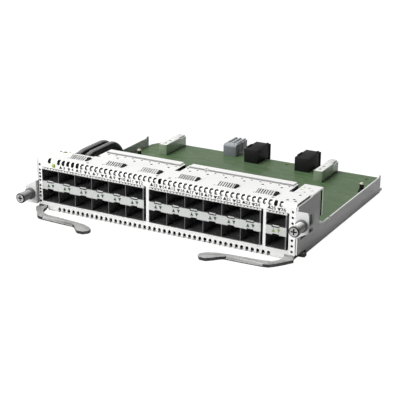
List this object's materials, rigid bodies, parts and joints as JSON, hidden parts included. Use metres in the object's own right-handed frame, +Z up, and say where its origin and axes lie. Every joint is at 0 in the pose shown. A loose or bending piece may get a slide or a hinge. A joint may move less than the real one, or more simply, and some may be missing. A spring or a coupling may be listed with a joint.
{
  "type": "switch line card",
  "caption": "Sheet-metal switch line card with stacked module ports, folding ejector levers, captive corner screws and backplane connectors at the rear.",
  "frame": {"origin": "on the front face of the faceplate, midway between the side cheeks, level with the underside of the tray", "axes": "+X to the right across the front as seen from the front, +Y back into the chassis, +Z up"},
  "size_m": [0.2256, 0.2147, 0.0415],
  "materials": {
    "sheet_steel": "bright plated sheet",
    "cage_steel": "tinned thin sheet",
    "spring_steel": "brushed",
    "lever_steel": "brushed",
    "bright_steel": "bright turned",
    "black_plastic": "moulded",
    "grey_plastic": "moulded",
    "beige_plastic": "moulded",
    "clear_green": "clear rod seen from its end",
    "light_body": "moulded",
    "lens_green": "clear dome",
    "board_green": "solder mask",
    "foam_black": "foam pad",
    "cable_black": "soft jacket",
    "block_aluminium": "machined",
    "black_aluminium": "black anodised",
    "can_aluminium": "drawn can",
    "contact_metal": "plated"
  },
  "bodies": {
    "card": {"backplane_connector_left": "black_plastic", "backplane_connector_right": "black_plastic", "backplane_pins": "contact_metal", "base_tray": "sheet_steel", "board_capacitors": "can_aluminium", "board_post_caps": "beige_plastic", "board_posts": "black_plastic", "board_screws": "bright_steel", "board_standoffs": "bright_steel", "cable_plug": "black_plastic", "cable_socket": "black_plastic", "chip_heat_sink": "black_aluminium", "circuit_board": "board_green", "faceplate": "sheet_steel", "guide_block_left": "block_aluminium", "guide_block_right": "block_aluminium", "guide_block_screws": "bright_steel", "hood_panel_end": "sheet_steel", "hood_panel_left": "sheet_steel", "hood_panel_right": "sheet_steel", "hood_rivets": "bright_steel", "hood_spring_ends": "black_plastic", "hood_springs": "spring_steel", "hood_stiffener_left": "sheet_steel", "hood_stiffener_right": "sheet_steel", "lever_pins": "bright_steel", "light_pipes_end": "clear_green", "light_pipes_left": "clear_green", "light_pipes_right": "clear_green", "memory_chips": "black_plastic", "port_cage_end": "cage_steel", "port_cage_left": "cage_steel", "port_cage_right": "cage_steel", "port_lights": "light_body", "port_sockets_end": "black_plastic", "port_sockets_left": "black_plastic", "port_sockets_right": "black_plastic", "power_blades": "contact_metal", "power_connector": "grey_plastic", "power_inductors": "grey_plastic", "power_modules": "black_plastic", "retimer_chips": "black_plastic", "screw_ferrules": "cage_steel", "spring_fingers_end": "spring_steel", "spring_fingers_left": "spring_steel", "spring_fingers_right": "spring_steel", "status_block": "lens_green", "status_board": "board_green", "status_cables": "cable_black", "status_lens": "lens_green", "status_light": "light_body", "status_pad": "foam_black", "switch_chip": "black_plastic"},
    "lever_left": {"ejector_lever_left": "lever_steel"},
    "lever_right": {"ejector_lever_right": "lever_steel"},
    "sleeve_left": {"screw_sleeve_left": "bright_steel"},
    "sleeve_right": {"screw_sleeve_right": "bright_steel"},
    "screw_left": {"captive_screw_left": "bright_steel"},
    "screw_right": {"captive_screw_right": "bright_steel"}
  },
  "joints": [
    {"name": "left_lever_swing", "type": "hinge", "parent": "card", "child": "lever_left", "pos_m": [-0.0983, 0.0072, 0.003], "axis": [0, 0, 1], "range_deg": [-50, 0]},
    {"name": "right_lever_swing", "type": "hinge", "parent": "card", "child": "lever_right", "pos_m": [0.0983, 0.0072, 0.003], "axis": [0, 0, 1], "range_deg": [0, 50]},
    {"name": "left_sleeve_push", "type": "slide", "parent": "card", "child": "sleeve_left", "axis": [0, 1, 0], "range_m": [0, 0.007], "stiffness_N_per_m": 300, "springref_m": -0.002},
    {"name": "right_sleeve_push", "type": "slide", "parent": "card", "child": "sleeve_right", "axis": [0, 1, 0], "range_m": [0, 0.007], "stiffness_N_per_m": 300, "springref_m": -0.002},
    {"name": "left_screw_turn", "type": "hinge", "parent": "sleeve_left", "child": "screw_left", "pos_m": [-0.1082, -0.012, 0.012], "axis": [0, 1, 0], "continuous": true},
    {"name": "right_screw_turn", "type": "hinge", "parent": "sleeve_right", "child": "screw_right", "pos_m": [0.1082, -0.012, 0.0276], "axis": [0, 1, 0], "continuous": true}
  ]
}
